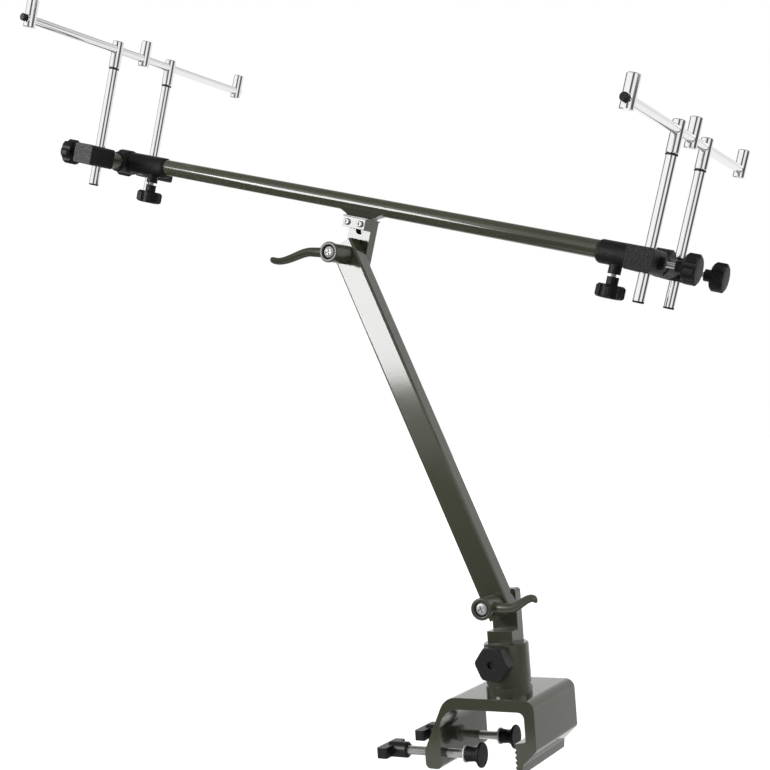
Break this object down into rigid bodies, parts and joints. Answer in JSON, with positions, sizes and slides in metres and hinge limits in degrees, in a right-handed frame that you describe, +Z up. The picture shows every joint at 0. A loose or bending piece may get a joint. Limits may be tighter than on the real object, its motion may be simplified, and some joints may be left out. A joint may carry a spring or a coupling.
{
  "type": "clamp-on rod pod",
  "caption": "Clamp-on fishing rod pod: a C-clamp with a swivelling post, a tilting arm and a tilting tube with height-adjustable rod rest bars at its ends.",
  "frame": {"origin": "on the post's axis, at the underside of the clamp's top plate, which rests on the gripped edge", "axes": "+Z up along the post, +X from the clamp screws to the toothed jaw, +Y along the gripped edge, away from the side with the levers"},
  "size_m": [0.8202, 0.4251, 0.9119],
  "materials": {
    "olive_paint": "gloss paint",
    "black_plastic": "fine grain",
    "chrome": "polished",
    "steel": "zinc plated",
    "nylon": "smooth",
    "rubber": "matte"
  },
  "bodies": {
    "base": {"clamp_bracket": "olive_paint", "post_socket": "olive_paint"},
    "swivel_knob": {"swivel_knob": "black_plastic", "swivel_stud": "steel"},
    "front_pad": {"front_clamp_pad": "black_plastic", "front_pad_washer": "nylon"},
    "rear_pad": {"rear_clamp_pad": "black_plastic", "rear_pad_washer": "nylon"},
    "front_screw": {"front_clamp_screw": "steel", "front_clamp_wing": "black_plastic"},
    "rear_screw": {"rear_clamp_screw": "steel", "rear_clamp_wing": "black_plastic"},
    "swivel": {"swivel_clevis": "olive_paint", "lower_pivot_bolt": "steel", "lower_lever_screw": "steel"},
    "lower_lever": {"lower_lever": "olive_paint"},
    "arm": {"arm_tube": "olive_paint", "arm_bushes": "nylon"},
    "head": {"upper_clevis": "olive_paint", "upper_pivot_bolt": "steel", "upper_lever_screw": "steel", "tube_saddle": "olive_paint", "saddle_plate": "chrome", "saddle_screws": "chrome", "main_tube": "olive_paint"},
    "upper_lever": {"upper_lever": "olive_paint"},
    "left_end": {"left_tee": "black_plastic", "left_cross_tube": "olive_paint", "left_near_clamp": "black_plastic", "left_far_clamp": "black_plastic"},
    "left_sleeve_knob": {"left_sleeve_knob": "black_plastic", "left_sleeve_stud": "steel"},
    "left_near_knob": {"left_near_knob": "black_plastic", "left_near_stud": "steel"},
    "left_far_knob": {"left_far_knob": "black_plastic", "left_far_stud": "steel"},
    "left_rest": {"left_sticks": "chrome", "left_buzz_bar": "chrome", "left_rod_holders": "chrome", "left_stick_sockets": "chrome", "left_o_rings": "rubber", "left_stick_plugs": "black_plastic", "left_bar_caps": "black_plastic"},
    "right_end": {"right_tee": "black_plastic", "right_cross_tube": "olive_paint", "right_near_clamp": "black_plastic", "right_far_clamp": "black_plastic"},
    "right_sleeve_knob": {"right_sleeve_knob": "black_plastic", "right_sleeve_stud": "steel"},
    "right_near_knob": {"right_near_knob": "black_plastic", "right_near_stud": "steel"},
    "right_far_knob": {"right_far_knob": "black_plastic", "right_far_stud": "steel"},
    "right_rest": {"right_sticks": "chrome", "right_buzz_bar": "chrome", "right_rod_holders": "chrome", "right_stick_sockets": "chrome", "right_o_rings": "rubber", "right_stick_plugs": "black_plastic", "right_bar_caps": "black_plastic"}
  },
  "joints": [
    {"name": "swivel_turn", "type": "hinge", "parent": "base", "child": "swivel", "pos_m": [0, 0, 0.07], "axis": [0, 0, 1], "continuous": true},
    {"name": "swivel_knob_turn", "type": "hinge", "parent": "base", "child": "swivel_knob", "pos_m": [0, -0.025, 0.052], "axis": [0, -1, 0], "range_deg": [-360, 45]},
    {"name": "front_pad_travel", "type": "slide", "parent": "base", "child": "front_pad", "axis": [1, 0, 0], "range_m": [-0.02, 0.028]},
    {"name": "front_screw_turn", "type": "hinge", "parent": "front_pad", "child": "front_screw", "pos_m": [-0.0315, -0.013, -0.053], "axis": [1, 0, 0], "range_deg": [-3600, 5040]},
    {"name": "rear_pad_travel", "type": "slide", "parent": "base", "child": "rear_pad", "axis": [1, 0, 0], "range_m": [-0.024, 0.024]},
    {"name": "rear_screw_turn", "type": "hinge", "parent": "rear_pad", "child": "rear_screw", "pos_m": [-0.0275, 0.071, -0.053], "axis": [1, 0, 0], "range_deg": [-4320, 4320]},
    {"name": "lower_lever_turn", "type": "hinge", "parent": "swivel", "child": "lower_lever", "pos_m": [0, 0, 0.1142], "axis": [0, 1, 0], "range_deg": [-100, 45]},
    {"name": "arm_tilt", "type": "hinge", "parent": "swivel", "child": "arm", "pos_m": [0, 0, 0.1142], "axis": [0, 1, 0], "range_deg": [-35, 80]},
    {"name": "head_tilt", "type": "hinge", "parent": "arm", "child": "head", "pos_m": [-0.16087, 0, 0.52051], "axis": [0, 1, 0], "range_deg": [-80, 35]},
    {"name": "upper_lever_turn", "type": "hinge", "parent": "head", "child": "upper_lever", "pos_m": [-0.16087, 0, 0.52051], "axis": [0, 1, 0], "range_deg": [-45, 100]},
    {"name": "left_end_turn", "type": "hinge", "parent": "head", "child": "left_end", "pos_m": [-0.49992, 0, 0.69449], "axis": [0.9521, 0, -0.3057], "range_deg": [-30, 30]},
    {"name": "left_sleeve_knob_turn", "type": "hinge", "parent": "left_end", "child": "left_sleeve_knob", "pos_m": [-0.45934, 0, 0.6573], "axis": [-0.3057, 0, -0.9521], "range_deg": [-360, 45]},
    {"name": "left_near_knob_turn", "type": "hinge", "parent": "left_end", "child": "left_near_knob", "pos_m": [-0.5151, -0.052, 0.69463], "axis": [-0.9521, 0, 0.3057], "range_deg": [-360, 45]},
    {"name": "left_far_knob_turn", "type": "hinge", "parent": "left_end", "child": "left_far_knob", "pos_m": [-0.5151, 0.052, 0.69463], "axis": [-0.9521, 0, 0.3057], "range_deg": [-360, 45]},
    {"name": "left_rest_height", "type": "slide", "parent": "left_end", "child": "left_rest", "axis": [0.3057, 0, 0.9521], "range_m": [-0.085, 0.015]},
    {"name": "right_end_turn", "type": "hinge", "parent": "head", "child": "right_end", "pos_m": [0.21037, 0, 0.46644], "axis": [0.9521, 0, -0.3057], "range_deg": [-30, 30]},
    {"name": "right_sleeve_knob_turn", "type": "hinge", "parent": "right_end", "child": "right_sleeve_knob", "pos_m": [0.15573, 0, 0.45982], "axis": [-0.3057, 0, -0.9521], "range_deg": [-360, 45]},
    {"name": "right_near_knob_turn", "type": "hinge", "parent": "right_end", "child": "right_near_knob", "pos_m": [0.2228, -0.052, 0.45772], "axis": [0.9521, 0, -0.3057], "range_deg": [-360, 45]},
    {"name": "right_far_knob_turn", "type": "hinge", "parent": "right_end", "child": "right_far_knob", "pos_m": [0.2228, 0.052, 0.45772], "axis": [0.9521, 0, -0.3057], "range_deg": [-360, 45]},
    {"name": "right_rest_height", "type": "slide", "parent": "right_end", "child": "right_rest", "axis": [0.3057, 0, 0.9521], "range_m": [-0.085, 0.015]}
  ],
  "couplings": [
    {"joint": "front_screw_turn", "follows": "front_pad_travel", "rad_per_m": 3141.6},
    {"joint": "rear_screw_turn", "follows": "rear_pad_travel", "rad_per_m": 3141.6}
  ]
}
